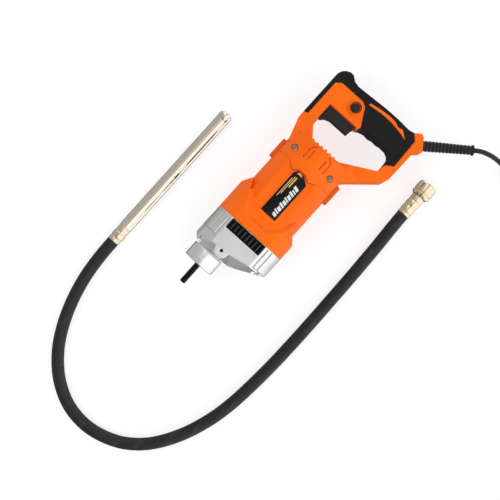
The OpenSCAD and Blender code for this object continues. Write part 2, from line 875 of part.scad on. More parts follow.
module coupling_nut() {
    r = nut_d / 2;
    color(gold) at_coupling() difference() {
        rotate([0, 90, 0]) rotate_extrude() polygon([
            [7.6, 37], [12.5, 37], [r - 1, 38.8], [r, 41], [r, 42.4], [r - 0.9, 43.2], [r - 0.9, 44.4],
            [r, 45.2], [r, 57], [r - 1, 59.6], [r - 2, 60.5], [7.6, 60.5]
        ]);
        rod(36, 41.9, 7.55);
        rod(41.8, 45.2, 12);
        rod(45, 62, 11.5);
    }
}

module drive_socket() {
    color(steel) at_coupling() pipe(5.4, 44.5, 6.44, spindle_d / 2 + 0.1);
}

module head_ferrule() {
    r = poker_d / 2;
    color(gold) at_poker() difference() {
        rotate([0, 90, 0]) rotate_extrude() polygon([
            [8, 0], [r - 1.2, 0], [r - 0.8, 1], [r - 0.8, 5.5], [r - 1.4, 6.5], [r, 9], [r, 16.5],
            [r - 0.9, 18], [r - 0.9, ferrule_len], [8, ferrule_len]
        ]);
        rod(-1, 30, 8);
    }
}

module head_bush() {
    color(steel) at_poker() difference() {
        rod(0, ferrule_len - 2, 8);
        rod(-1, ferrule_len, core_r + 0.3);
    }
}

module poker_tube() {
    color(steel) at_poker() pipe(ferrule_len, ferrule_len + poker_tube_len, poker_d / 2, 8.2);
}

module poker_tip() {
    r = poker_d / 2;
    tip = ferrule_len + poker_tube_len;
    color(steel) at_poker() rotate([0, 90, 0]) rotate_extrude() polygon([
        [0, tip - 8], [8.2, tip - 8], [8.2, tip], [r, tip], [r, tip + tip_len - 5],
        [r - 0.9, tip + tip_len - 2], [r - 3.2, tip + tip_len], [0, tip + tip_len]
    ]);
}

module poker_bearings() {
    tube_end = ferrule_len + poker_tube_len;
    color(steel) at_poker() {
        pipe(ferrule_len + 3, ferrule_len + 3 + bearing_w, 8.2, 3 + running);
        pipe(tube_end - 16, tube_end - 16 + bearing_w, 8.2, 3 + running);
    }
}

module eccentric() {
    tube_end = ferrule_len + poker_tube_len;
    color(steel) at_poker() {
        rod(2, tube_end - 9, 3);
        difference() {
            rod(ferrule_len + 14, tube_end - 20, 7.4);
            block([0, -10, 0], [300, 10, 10]);
        }
    }
}

gear_casing();
gear_plate();
air_vents();
casing_screws();
clamp_collar();
pinch_screw();
spindle();
spindle_gear();
spindle_bearings();
spindle_seal();
motor_housing();
stator_core();
field_coils();
rotor_shaft();
armature_core();
armature_windings();
commutator();
fan();
rotor_front_bearing();
rotor_rear_bearing();
brush_holders();
carbon_brushes();
brush_springs();
brush_covers();
label_plate();
handle_shell_upper();
handle_shell_lower();
rubber_grip_upper();
rubber_grip_lower();
grip_stripes();
handle_screws();
trigger();
trigger_spring();
lock_button();
lock_spring();
switch_body();
cord_clamp();
clamp_screws();
switch_leads();
strain_relief();
cord_end();
mains_cord();
cord_coil();
cord_tie();
plug_lead();
plug_body();
plug_pins();
hose();
drive_core();
hose_ferrule();
hose_fitting();
coupling_nut();
drive_socket();
head_ferrule();
head_bush();
poker_tube();
poker_tip();
poker_bearings();
eccentric();
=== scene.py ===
import json
import math

import bmesh
import bpy
from mathutils import Matrix, Vector


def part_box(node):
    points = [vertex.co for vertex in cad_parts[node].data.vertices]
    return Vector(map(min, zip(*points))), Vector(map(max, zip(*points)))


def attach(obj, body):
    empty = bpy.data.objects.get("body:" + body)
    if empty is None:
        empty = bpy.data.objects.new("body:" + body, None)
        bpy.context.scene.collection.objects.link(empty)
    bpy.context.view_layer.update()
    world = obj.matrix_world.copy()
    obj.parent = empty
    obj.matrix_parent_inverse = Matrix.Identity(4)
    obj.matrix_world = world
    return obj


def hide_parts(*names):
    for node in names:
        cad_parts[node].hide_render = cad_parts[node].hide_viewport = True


# ---- Frame. Sizes below are millimetres; make_object() turns them into the frame's metres.

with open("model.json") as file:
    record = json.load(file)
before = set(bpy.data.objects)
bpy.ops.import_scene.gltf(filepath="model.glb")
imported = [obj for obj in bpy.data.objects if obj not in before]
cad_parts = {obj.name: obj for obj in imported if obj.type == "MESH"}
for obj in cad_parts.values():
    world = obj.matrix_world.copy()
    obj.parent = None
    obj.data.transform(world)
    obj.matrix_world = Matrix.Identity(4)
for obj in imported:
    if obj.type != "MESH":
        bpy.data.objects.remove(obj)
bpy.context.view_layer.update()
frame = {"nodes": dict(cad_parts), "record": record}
nodes = frame["nodes"]
MM = 0.001

# The motor's axis crosses the joint of casting and housing at the tool's own zero.
housing_low, housing_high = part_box("motor_housing")
shaft_low, shaft_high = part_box("rotor_shaft")
TOOL = Vector((
    housing_low.x / MM,
    (shaft_low.y + shaft_high.y) / 2 / MM,
    (housing_low.z + housing_high.z) / 2 / MM,
))
# Cords and the loose shaft are placed from the floor below that point.
FLOOR = Vector((TOOL.x, TOOL.y, 0))

# Motor unit: barrel, flange, the axis' height above the floor, the label's flat and the spindle's offset
BARREL_R = 51.5
FLANGE_R = 61
LIE_Z = 51.5
BARREL_FLAT = 43.5
SPINDLE_Y = 26.5
SCREWS = ((136, 34.5), (136, -34.5))

# Cords: diameters, and where their ends and fittings are
CORD_D = 7.4
HOSE_D = 19.4
COUPLING = Vector((179, -156, 15.2))
POKER = Vector((-150, 149, 10.4))
GLAND = Vector((268, -103, 0))
GLAND_TURN = math.radians(-53)
COIL = Vector((382, -300, 1.2))
PLUG = Vector((436, -266, 15))


# ---- Materials


class Look:
    """A node material that is built step by step."""

    def __init__(self, name):
        self.material = bpy.data.materials.new(name)
        self.material.use_nodes = True
        self.nodes = self.material.node_tree.nodes
        self.links = self.material.node_tree.links
        self.shader = self.nodes["Principled BSDF"]
        self.place = self.nodes.new("ShaderNodeTexCoord").outputs["Object"]
        self.height = None

    def noise(self, scale, detail=3, stretch=(1, 1, 1)):
        mapping = self.nodes.new("ShaderNodeMapping")
        mapping.inputs["Scale"].default_value = stretch
        self.links.new(self.place, mapping.inputs["Vector"])
        texture = self.nodes.new("ShaderNodeTexNoise")
        texture.inputs["Scale"].default_value = scale
        texture.inputs["Detail"].default_value = detail
        self.links.new(mapping.outputs["Vector"], texture.inputs["Vector"])
        return texture.outputs["Fac"]

    def ramp(self, value, low, high, a, b):
        node = self.nodes.new("ShaderNodeMapRange")
        node.inputs["From Min"].default_value = low
        node.inputs["From Max"].default_value = high
        node.inputs["To Min"].default_value = a
        node.inputs["To Max"].default_value = b
        self.links.new(value, node.inputs["Value"])
        return node.outputs["Result"]

    def mix(self, value, first, second):
        node = self.nodes.new("ShaderNodeMix")
        node.data_type = "RGBA"
        self.links.new(value, node.inputs["Factor"])
        for socket, colour in (("A", first), ("B", second)):
            target = [i for i in node.inputs if i.name == socket and i.type == "RGBA"][0]
            if hasattr(colour, "links"):
                self.links.new(colour, target)
            else:
                target.default_value = (*colour, 1)
        return [o for o in node.outputs if o.type == "RGBA"][0]

    def edges(self):
        """One on worn outer edges, zero on flats."""
        geometry = self.nodes.new("ShaderNodeNewGeometry")
        return self.ramp(geometry.outputs["Pointiness"], 0.53, 0.6, 0, 1)

    def hollows(self):
        """Near one in the bottom of grooves and seams, where shade is painted."""
        geometry = self.nodes.new("ShaderNodeNewGeometry")
        return self.ramp(geometry.outputs["Pointiness"], 0.485, 0.43, 0, 0.9)

    def bump(self, value, strength, distance):
        node = self.nodes.new("ShaderNodeBump")
        node.inputs["Strength"].default_value = strength
        node.inputs["Distance"].default_value = distance
        self.links.new(value, node.inputs["Height"])
        if self.height is not None:
            self.links.new(self.height, node.inputs["Normal"])
        self.height = node.outputs["Normal"]
        self.links.new(self.height, self.shader.inputs["Normal"])

    def set(self, name, value):
        socket = self.shader.inputs[name]
        if hasattr(value, "links"):
            self.links.new(value, socket)
        else:
            socket.default_value = value


# Painted shade: how dark the bottoms of grooves and seams in plastic are painted, as a share of its deep
# tone.
GROOVE_SHADE = 0.28
# Painted shade: how dark the bottoms of grooves and seams in metal are painted, as a share of its deep
# tone.
METAL_HOLLOW_SHADE = 0.35


def plastic(name, colour, deep, roughness, worn=None, depth=0.00006, shine=0.3):
    """Moulded plastic with a fine grain; with a worn colour it also has pale worn edges and painted shade
    in its grooves.
    """
    look = Look(name)
    look.set("Specular IOR Level", shine)
    cloud = look.noise(14, 4)
    tint = look.mix(look.ramp(cloud, 0.35, 0.68, 0, 1), deep, colour)
    if worn is not None:
        tint = look.mix(look.ramp(look.edges(), 0, 1, 0, 0.5), tint, worn)
        # Painted shade darkens the bottoms of grooves and seams.
        tint = look.mix(look.hollows(), tint, [c * GROOVE_SHADE for c in deep])
    look.set("Base Color", tint)
    look.set("Roughness", look.ramp(look.noise(60, 5), 0.3, 0.7, roughness - 0.06, roughness + 0.06))
    look.bump(look.noise(1700, 2), 0.35, depth)
    return look.material


def metal(name, colour, deep, roughness, stretch=(1, 1, 1), scale=900, depth=0.00003, spread=0.07):
    """Bare metal, cloudy in colour, with streaks along the direction that stretch is smallest in, and
    painted shade in its grooves and seams.
    """
    look = Look(name)
    cloud = look.noise(26, 5)
    tint = look.mix(look.ramp(cloud, 0.32, 0.7, 0, 1), deep, colour)
    # Painted shade darkens the bottoms of grooves and seams.
    look.set("Base Color", look.mix(look.hollows(), tint, [c * METAL_HOLLOW_SHADE for c in deep]))
    look.set("Metallic", 1.0)
    streak = look.noise(scale, 4, stretch)
    look.set("Roughness", look.ramp(streak, 0.3, 0.7, roughness - spread, roughness + spread))
    look.bump(streak, 0.3, depth)
    return look.material


def polished(name, colour, deep, roughness):
    """Turned metal: fine rings round the X axis, and no coarser bumps."""
    return metal(name, colour, deep, roughness, (40, 1, 1), 60, depth=0.000004, spread=0.025)


def rubber(name, colour, pale, roughness, scratch=0.3, shine=0.3, grain=(1100, 0.00008)):
    """Rubber with pale dust; grain is the bump's scale and depth."""
    look = Look(name)
    look.set("Specular IOR Level", shine)
    dust = look.ramp(look.noise(45, 6, (0.4, 2, 2)), 0.58, 0.8, 0, scratch)
    look.set("Base Color", look.mix(dust, colour, pale))
    look.set("Roughness", look.ramp(look.noise(80, 4), 0.3, 0.7, roughness - 0.08, roughness + 0.08))
    look.bump(look.noise(grain[0], 3), 0.35, grain[1])
    return look.material


LOOKS = {
    "orange_plastic": plastic(
        "orange", (1.0, 0.158, 0.001), (0.95, 0.138, 0.001), 0.42, worn=(1.0, 0.22, 0.012), shine=0.18
    ),
    "dark_orange_plastic": plastic(
        "dark_orange", (0.86, 0.115, 0.003), (0.7, 0.08, 0.002), 0.42, shine=0.25
    ),
    "black_plastic": plastic("black", (0.016, 0.016, 0.017), (0.012, 0.012, 0.013), 0.36, shine=0.5),
    "trigger_plastic": plastic("trigger_black", (0.014, 0.013, 0.014), (0.01, 0.01, 0.011), 0.38),
    # Painted shade: the vents' insert is a darker black than the black plastic, for the shade in its slots.
    "vent_black_painted_shade": plastic("vent_black_painted_shade", (0.004, 0.004, 0.004), (0.003, 0.003, 0.003), 0.6, shine=0.1),
    # Painted highlight: the caps of the vents' bars are a lighter, shinier black than the insert.
    "vent_rib_painted_highlight": plastic("vent_rib_painted_highlight", (0.03, 0.03, 0.031), (0.024, 0.024, 0.025), 0.4, shine=0.4),
    "label_black": plastic(
        "label", (0.006, 0.006, 0.007), (0.004, 0.004, 0.005), 0.3, depth=0.00001, shine=0.2
    ),
    "label_cream": plastic("label_cream", (0.75, 0.55, 0.28), (0.7, 0.5, 0.24), 0.4, depth=0.00001),
    "label_yellow": plastic("label_yellow", (0.9, 0.5, 0.08), (0.85, 0.45, 0.07), 0.4, depth=0.00001),
    "label_white": plastic("label_white", (0.82, 0.82, 0.82), (0.78, 0.78, 0.78), 0.4, depth=0.00001),
    "carbon": plastic("carbon", (0.02, 0.02, 0.022), (0.012, 0.012, 0.013), 0.6),
    "wire_sleeve": plastic("wire", (0.4, 0.02, 0.015), (0.35, 0.016, 0.012), 0.35),
    "grip_rubber": rubber("grip", (0.009, 0.0085, 0.009), (0.015, 0.015, 0.015), 0.6, shine=0.16),
    "cord_rubber": rubber("cord", (0.009, 0.009, 0.01), (0.022, 0.022, 0.024), 0.45),
    "hose_rubber": rubber(
        "hose", (0.014, 0.0135, 0.014), (0.06, 0.06, 0.065), 0.5, scratch=0.6, grain=(420, 0.0003)
    ),
    "black_rubber": rubber("seal", (0.012, 0.012, 0.012), (0.02, 0.02, 0.02), 0.6),
    "cast_alloy": metal(
        "cast", (0.9, 0.895, 0.89), (0.78, 0.78, 0.775), 0.42, scale=700, depth=0.00012
    ),
    "machined_alloy": metal("machined", (0.92, 0.915, 0.91), (0.82, 0.82, 0.82), 0.34, (30, 1, 1), 140),
    "zinc_steel": metal("zinc", (0.75, 0.7, 0.64), (0.6, 0.56, 0.5), 0.3),
    "dull_screw": metal("dull_screw", (0.42, 0.36, 0.32), (0.32, 0.27, 0.24), 0.35),
    "black_steel": metal("black_oxide", (0.02, 0.02, 0.021), (0.014, 0.014, 0.015), 0.4, (30, 1, 1), 140),
    "gear_steel": metal("steel", (0.6, 0.6, 0.62), (0.5, 0.5, 0.52), 0.3),
    "bearing_steel": metal("bearing", (0.75, 0.76, 0.78), (0.68, 0.69, 0.7), 0.15),
    "spring_steel": metal("spring", (0.6, 0.61, 0.63), (0.5, 0.51, 0.53), 0.25),
    "lamination_steel": metal("laminations", (0.4, 0.4, 0.42), (0.32, 0.32, 0.34), 0.4, (60, 1, 1), 140),
    "copper_wire": metal("copper", (0.72, 0.3, 0.12), (0.6, 0.22, 0.08), 0.35),
    "copper_bar": metal("bar", (0.8, 0.42, 0.22), (0.7, 0.35, 0.18), 0.25),
    "brass_plate": metal("brass", (0.8, 0.58, 0.24), (0.7, 0.48, 0.18), 0.3),
    "plug_brass": metal("pins", (0.8, 0.76, 0.62), (0.72, 0.67, 0.53), 0.2),
    "pale_brass": polished("pale_brass", (0.86, 0.73, 0.52), (0.8, 0.66, 0.45), 0.11),
    "pale_nickel": polished("pale_nickel", (0.82, 0.7, 0.54), (0.75, 0.63, 0.47), 0.13),
    "polished_steel": polished("poker_steel", (0.84, 0.75, 0.64), (0.78, 0.68, 0.56), 0.11),
}


def dress(obj, slot, look=None):
    obj.data.materials.clear()
    obj.data.materials.append(LOOKS[look or slot])


for entry in frame["record"]["subparts"]:
    node_object = nodes[entry["node"]]
    node_object.data.materials.clear()
    node_object.data.materials.append(LOOKS[entry["material_slot"]])


# ---- Mesh tools


def make_object(name, bm, body, slot, look=None, smooth=True, replaces=()):
    """Turns a bmesh in frame millimetres into a dressed piece that rides on a body."""
    bmesh.ops.scale(bm, vec=(MM, MM, MM), verts=bm.verts)
    bmesh.ops.recalc_face_normals(bm, faces=bm.faces)
    mesh = bpy.data.meshes.new(name)
    bm.to_mesh(mesh)
    bm.free()
    return finish_object(name, mesh, body, slot, look, smooth, replaces)


def finish_object(name, mesh, body, slot, look=None, smooth=True, replaces=()):
    obj = bpy.data.objects.new(name, mesh)
    bpy.context.scene.collection.objects.link(obj)
    dress(obj, slot, look)
    if smooth:
        mesh.polygons.foreach_set("use_smooth", [True] * len(mesh.polygons))
    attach(obj, body)
    if replaces:
        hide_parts(*replaces)
    return obj


def soften(obj, width, segments=2, angle=35):
    """Rounded edges, with the flats kept flat."""
    bevel = obj.modifiers.new("edges", "BEVEL")
    bevel.width = width * MM
    bevel.segments = segments
    bevel.limit_method = "ANGLE"
    bevel.angle_limit = math.radians(angle)
    bevel.harden_normals = True
    return obj


def scratch(bm):
    """A temporary object in millimetres, for cutting."""
    bmesh.ops.recalc_face_normals(bm, faces=bm.faces)
    mesh = bpy.data.meshes.new("scratch")
    bm.to_mesh(mesh)
    bm.free()
    obj = bpy.data.objects.new("scratch", mesh)
    bpy.context.scene.collection.objects.link(obj)
    return obj


def prism_mesh(bm, outline, z0, z1):
    """Adds a flat outline in tool millimetres, extruded in Z from z0 to z1 above the motor's axis."""
    low = [bm.verts.new(Vector((x, y, z0)) + TOOL) for x, y in outline]
    high = [bm.verts.new(Vector((x, y, z1)) + TOOL) for x, y in outline]
    count = len(outline)
    bm.faces.new(low[::-1])
    bm.faces.new(high)
    for i in range(count):
        j = (i + 1) % count
        bm.faces.new((low[i], low[j], high[j], high[i]))


def prism(outline, z0, z1):
    """A temporary prism, for cutting."""
    bm = bmesh.new()
    prism_mesh(bm, outline, z0, z1)
    return scratch(bm)


def rectangle(x0, x1, y0, y1):
    return [(x0, y0), (x1, y0), (x1, y1), (x0, y1)]


def turns(count):
    """Equal steps of angle round a circle."""
    return [2 * math.pi * i / count for i in range(count)]


def drum(x0, x1, radius):
    """A cylinder round the motor's axis."""
    bm = bmesh.new()
    middle = Matrix.Translation(TOOL + Vector(((x0 + x1) / 2, 0, 0)))
    bmesh.ops.create_cone(
        bm, cap_ends=True, segments=128, radius1=radius, radius2=radius, depth=x1 - x0,
        matrix=middle @ Matrix.Rotation(math.pi / 2, 4, "Y"),
    )
    return scratch(bm)


def post(x, y, radius, z0, z1):
    """A cylinder along Z in tool millimetres."""
    circle = [(x + radius * math.cos(a), y + radius * math.sin(a)) for a in turns(48)]
    return prism(circle, z0, z1)


END_REACH = 0.7


def band(line, width):
    """Outline of a strip along a line of points, whose ends come to a blunt point."""
    left, right = [], []
    half = width / 2
    for i, point in enumerate(line):
        a = Vector(line[max(i - 1, 0)])
        b = Vector(line[min(i + 1, len(line) - 1)])
        along = (b - a).normalized()
        across = Vector((-along.y, along.x)) * half
        left.append(tuple(Vector(point) + across))
        right.append(tuple(Vector(point) - across))
    first, last = Vector(line[0]), Vector(line[-1])
    start = (Vector(line[1]) - first).normalized() * half * END_REACH
    stop = (last - Vector(line[-2])).normalized() * half * END_REACH
    return [*left, tuple(last + stop), *right[::-1], tuple(first - start)]


def curve_points(points, steps=8):
    """A smooth curve through points, which it passes in order."""
    points = [Vector(p) for p in points]
    padded = [2 * points[0] - points[1], *points, 2 * points[-1] - points[-2]]
    out = []
    for i in range(1, len(padded) - 2):
        a, b, c, d = padded[i - 1 : i + 3]
        for s in range(steps):
            t = s / steps
            slope = (c - a) * t
            bend = (2 * a - 5 * b + 4 * c - d) * t**2
            swing = (3 * b - 3 * c + d - a) * t**3
            out.append(0.5 * (2 * b + slope + bend + swing))
    out.append(points[-1])
    return [tuple(p) for p in out]


def combine(obj, other, operation):
    """Boolean with a temporary object, which goes away."""
    cut = obj.modifiers.new("cut", "BOOLEAN")
    cut.operation = operation
    cut.solver = "EXACT"
    cut.object = other
    bake(obj)
    bpy.data.objects.remove(other)
    return obj


def bake(obj):
    graph = bpy.context.evaluated_depsgraph_get()
    graph.update()
    mesh = bpy.data.meshes.new_from_object(obj.evaluated_get(graph))
    obj.modifiers.clear()
    obj.data = mesh


def copy_of(name):
    """The named CAD node as a temporary object in millimetres."""
    bm = bmesh.new()
    bm.from_mesh(nodes[name].data)
    bmesh.ops.remove_doubles(bm, verts=bm.verts, dist=1e-6)
    bmesh.ops.scale(bm, vec=(1 / MM, 1 / MM, 1 / MM), verts=bm.verts)
    return scratch(bm)


def outside(cutter, x0, x1, radius):
    """Keeps only what of the cutter lies outside a cylinder round the motor's axis."""
    return combine(cutter, drum(x0, x1, radius), "DIFFERENCE")


def mould(obj, voxel, rounds):
    """Melts an object's sharp edges, as a mould or casting has them. voxel is in millimetres."""
    remesh = obj.modifiers.new("remesh", "REMESH")
    remesh.mode = "VOXEL"
    remesh.voxel_size = voxel
    smooth = obj.modifiers.new("smooth", "SMOOTH")
    smooth.factor = 0.5
    smooth.iterations = rounds
    bake(obj)
    return obj


def to_piece(obj, node, body, slot):
    """A temporary object in millimetres becomes the piece that stands in for a CAD node."""
    mesh = obj.data
    mesh.transform(Matrix.Scale(MM, 4))
    mesh.update()
    bpy.data.objects.remove(obj)
    return finish_object(node + "_look", mesh, body, slot, replaces=(node,))


def moulded(node, body, slot, voxel, rounds):
    """A copy of a CAD node with melted edges, in place of the node."""
    return to_piece(mould(copy_of(node), voxel, rounds), node, body, slot)


def crisp(node, body, slot, width=0.3, segments=2, look=None):
    """A copy of a CAD node with its edges rounded, in place of the node."""
    bm = bmesh.new()
    bm.from_mesh(nodes[node].data)
    bmesh.ops.remove_doubles(bm, verts=bm.verts, dist=1e-6)
    bmesh.ops.dissolve_limit(bm, angle_limit=0.01, verts=bm.verts, edges=bm.edges)
    bmesh.ops.recalc_face_normals(bm, faces=bm.faces)
    mesh = bpy.data.meshes.new(node + "_look")
    bm.to_mesh(mesh)
    bm.free()
    obj = finish_object(node + "_look", mesh, body, slot, look, replaces=(node,))
    return soften(obj, width, segments, 28)


def turned(bm, profile, place, segments, closed):
    """Adds the faces of a profile of (distance along X, radius) turned round X."""
    rings = []
    for x, r in profile:
        if r < 1e-6:
            rings.append([bm.verts.new(place @ Vector((x, 0, 0)))])
        else:
            round_x = [Vector((x, r * math.cos(a), r * math.sin(a))) for a in turns(segments)]
            rings.append([bm.verts.new(place @ point) for point in round_x])
    pairs = list(zip(rings, rings[1:]))
    if closed:
        pairs.append((rings[-1], rings[0]))
    for a, b in pairs:
        for i in range(segments):
            j = (i + 1) % segments
            if len(a) == 1 and len(b) == 1:
                continue
            if len(a) == 1:
                bm.faces.new((a[0], b[i], b[j]))
            elif len(b) == 1:
                bm.faces.new((a[i], b[0], a[j]))
            else:
                bm.faces.new((a[i], b[i], b[j], a[j]))


def lathe(name, profile, origin, turn, body, slot, segments=96, closed=False, replaces=()):
    """A turned piece. A closed profile gives a ring with a bore."""
    bm = bmesh.new()
    turned(bm, profile, Matrix.Translation(origin) @ turn, segments, closed)
    return make_object(name, bm, body, slot, replaces=replaces)


def fitting(node, profile, origin, body, slot, segments, width):
    """A turned ring on the loose shaft with rounded edges, in place of a CAD node."""
    place = FLOOR + origin
    ring = lathe(node + "_look", profile, place, ALONG_X, body, slot, segments, True, (node,))
    return soften(ring, width)


ALONG_X = Matrix.Identity(4)
ALONG_Y = Matrix.Rotation(math.pi / 2, 4, "Z")
ALONG_Z = Matrix.Rotation(-math.pi / 2, 4, "Y")


# ---- Cords


def tube(name, points, diameter, body, slot, replaces, resolution):
    """A curve through points in floor millimetres, as one open spline."""
    data = bpy.data.curves.new(name, "CURVE")
    data.dimensions = "3D"
    data.bevel_depth = diameter / 2 * MM
    data.bevel_resolution = resolution
    data.use_fill_caps = True
    spline = data.splines.new("POLY")
    spline.points.add(len(points) - 1)
    for target, point in zip(spline.points, points):
        target.co = (*((FLOOR + Vector(point)) * MM), 1)
    spline.use_smooth = True
    obj = bpy.data.objects.new(name, data)
    bpy.context.scene.collection.objects.link(obj)
    dress(obj, slot)
    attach(obj, body)
    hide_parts(*replaces)
    return obj


CORD_ROUTE = [
    (316.2, -166.9, 51.5), (320.4, -172.6, 51.2), (325, -180.5, 49), (329, -190, 44.5),
    (332.5, -200, 38), (335, -211, 29.5), (336, -223, 20.5), (336, -236, 12.5), (335, -250, 7),
    (333.5, -264, 4.7), (332, -278, 4.6), (330.8, -290, 4.9), (330.2, -300, 4.9),
]
LEAD_ROUTE = [
    (430.1, -300, 11.4), (430.6, -292, 11.8), (432, -283, 13), (435, -275, 14.4), (436, -269, 15),
    (436, -266, 15),
]
HOSE_ROUTE = [
    (179, -156, 15.2), (176, -156, 15.2), (165, -156.4, 14.6), (150, -157.2, 12.8),
    (134, -158.3, 10.8), (118, -159.3, 9.8), (90, -160.3, 9.8), (60, -161.2, 9.8),
    (30, -161.8, 9.8), (0, -162.3, 9.8), (-30, -162.7, 9.8), (-60, -162.9, 9.8),
    (-90, -162.8, 9.8), (-120, -162.3, 9.8), (-147, -161.2, 9.8), (-172, -159.6, 9.8),
    (-197, -157.5, 9.8), (-220, -154.6, 9.8), (-244, -150, 9.8), (-267, -143.6, 9.8),
    (-290, -135.3, 9.8), (-311, -125.3, 9.8), (-330, -114, 9.8), (-347, -101, 9.8),
    (-361, -86.5, 9.8), (-373, -69.5, 9.8), (-382, -50, 9.8), (-388, -29, 9.8), (-390.5, -7, 9.8),
    (-388.5, 16, 9.8), (-382.5, 37, 9.8), (-372.5, 56.5, 9.8), (-359.5, 74.5, 9.8),
    (-343, 91, 9.8), (-324, 105.5, 9.8), (-302, 118, 9.8), (-278, 128.5, 9.8), (-252, 137, 9.8),
    (-225, 143.3, 9.8), (-200, 146.8, 9.9), (-175, 148.6, 10.2), (-154, 149, 10.4),
    (-150, 149, 10.4),
]
BOTTOM_TURNS = 4
TOP_TURNS = 2.5
COIL_STEP = math.radians(3)
JOG = math.radians(40)
OUTER_TURN = 51.8
LAYER_RISE = 6.6


def ease(t):
    t = min(max(t, 0), 1)
    return t * t * (3 - 2 * t)


def coil_points():
    """Counter-clockwise turns from the left of the coil: inwards on the floor, then outwards on top."""
    points = []
    total = 2 * math.pi * (BOTTOM_TURNS + TOP_TURNS)
    angle = COIL_STEP
    while angle <= total + 1e-6:
        turn = int(angle / (2 * math.pi) + 1e-9)
        rest = angle - turn * 2 * math.pi
        jog = ease((rest - 2 * math.pi + JOG) / JOG)
        if turn < BOTTOM_TURNS - 1:
            radius, z = OUTER_TURN - CORD_D * (turn + jog), 0
        elif turn == BOTTOM_TURNS - 1:
            radius = OUTER_TURN - CORD_D * (turn - jog / 2)
            z = LAYER_RISE * ease((rest - 2 * math.pi + 2 * JOG) / JOG)
        else:
            up = turn - BOTTOM_TURNS
            radius, z = OUTER_TURN - CORD_D * (BOTTOM_TURNS - 1.5 - up - jog), LAYER_RISE
        base = COIL.z + CORD_D / 2
        around = math.pi + angle
        points.append((COIL.x + radius * math.cos(around), COIL.y + radius * math.sin(around), base + z))
        angle += COIL_STEP
    return points


lead_points = curve_points(CORD_ROUTE) + coil_points() + curve_points(LEAD_ROUTE)[1:]
mains_cord = tube(
    "mains_cord_look", lead_points, CORD_D, "tool", "cord_rubber",
    ("mains_cord", "cord_coil", "plug_lead"), 7,
)
hose_points = curve_points(HOSE_ROUTE)
hose = tube("hose_look", hose_points, HOSE_D, "flexible_shaft", "hose_rubber", ("hose",), 15)


# ---- Plug, tie and strain relief

PLUG_PROFILE = [
    (0, 0), (0, 5), (1, 5.4), (5, 5.9), (6, 5.0), (8, 5.0), (9, 6.2), (12, 6.4), (13, 5.4),
    (15, 5.4), (16, 6.6), (22, 6.9), (25, 7.8), (28, 10), (32, 13), (36, 14.3), (40, 14.5),
    (59, 14.5), (61, 14), (62, 12.6), (62, 0),
]
plug_body = lathe(
    "plug_body_look", PLUG_PROFILE, FLOOR + PLUG, ALONG_Y, "tool", "cord_rubber",
    replaces=("plug_body",),
)
plug_pins = crisp("plug_pins", "tool", "plug_brass", 0.25)
cord_tie = crisp("cord_tie", "tool", "black_plastic", 0.4)

RELIEF_RIBS = 13
RELIEF_PITCH = 5.3
RELIEF_LENGTH = 80


def relief_profile():
    """A collar in the handle, ribs that get slimmer, and a bead at the end."""
    profile = [(-11.5, 0), (-11.5, 8.7), (3, 8.7), (4, 7.9), (5.5, 7.7)]
    for rib in range(RELIEF_RIBS):
        x = 6.5 + rib * RELIEF_PITCH
        r = 8.4 - 1.5 * x / RELIEF_LENGTH
        profile += [(x, r - 1), (x + 0.6, r), (x + 3.4, r), (x + 4.1, r - 1)]
    return [*profile, (76, 6.6), (77, 8), (79, 8.3), (RELIEF_LENGTH, 7.6), (RELIEF_LENGTH, 0)]


lathe(
    "strain_relief_look", relief_profile(), TOOL + GLAND, Matrix.Rotation(GLAND_TURN, 4, "Z"),
    "tool", "cord_rubber", 64, replaces=("strain_relief",),
)


# ---- Motor housing

SCOOP_FRONT = [(90, 39.6), (38.9, 39.6), (10.6, 13), (9.8, -15.5), (33.9, -42), (90, -42)]
RAMP_START = 2
RAMP_RUN = 26
RAMP_FOOT = 30
RAMP_INNER_R = 46


def flange_ramp(level):
    """The slope from the flange's rim down to the barrel, round the front of the label."""
    bm = bmesh.new()
    front = SCOOP_FRONT[1:-1]
    first, last = (RAMP_START, front[0][1]), (RAMP_START, front[-1][1])
    rim = [first, *front, last]
    foot = [first, *[(x + RAMP_RUN, y) for x, y in front], last]
    top = [bm.verts.new(TOOL + Vector((x, y, level * LIE_Z))) for x, y in rim]
    bottom = [bm.verts.new(TOOL + Vector((x, y, level * RAMP_FOOT))) for x, y in foot]
    bm.faces.new(top)
    bm.faces.new(bottom[::-1])
    for i in range(len(top)):
        j = (i + 1) % len(top)
        bm.faces.new((top[i], bottom[i], bottom[j], top[j]))
    ramp = combine(scratch(bm), drum(-1, 90, FLANGE_R), "INTERSECT")
    return combine(ramp, drum(-5, 95, RAMP_INNER_R), "DIFFERENCE")


LABEL_FRAME = [(30, 14.5), (108, 14.5), (117, 8), (117, -6), (108, -19.5), (30, -19.5)]
LABEL_GROOVE = 0.9


def motor_housing():
    """The barrel with the sloping hollow behind its flange and the fine groove round the label."""
    body = copy_of("motor_housing")
    for level in (-1, 1):
        away = sorted((level * (BARREL_FLAT + 0.02), level * 70))
        combine(body, outside(prism(SCOOP_FRONT, *away), -10, 100, BARREL_R), "DIFFERENCE")
        combine(body, flange_ramp(level), "UNION")
    for level in (-1, 1):
        ends = sorted((level * (BARREL_FLAT - LABEL_GROOVE), level * (BARREL_FLAT + 4)))
        combine(body, prism(band(LABEL_FRAME, 1.6), *ends), "DIFFERENCE")
    mould(body, voxel=0.8, rounds=6)
    to_piece(body, "motor_housing", "tool", "orange_plastic")


motor_housing()


# ---- Handle

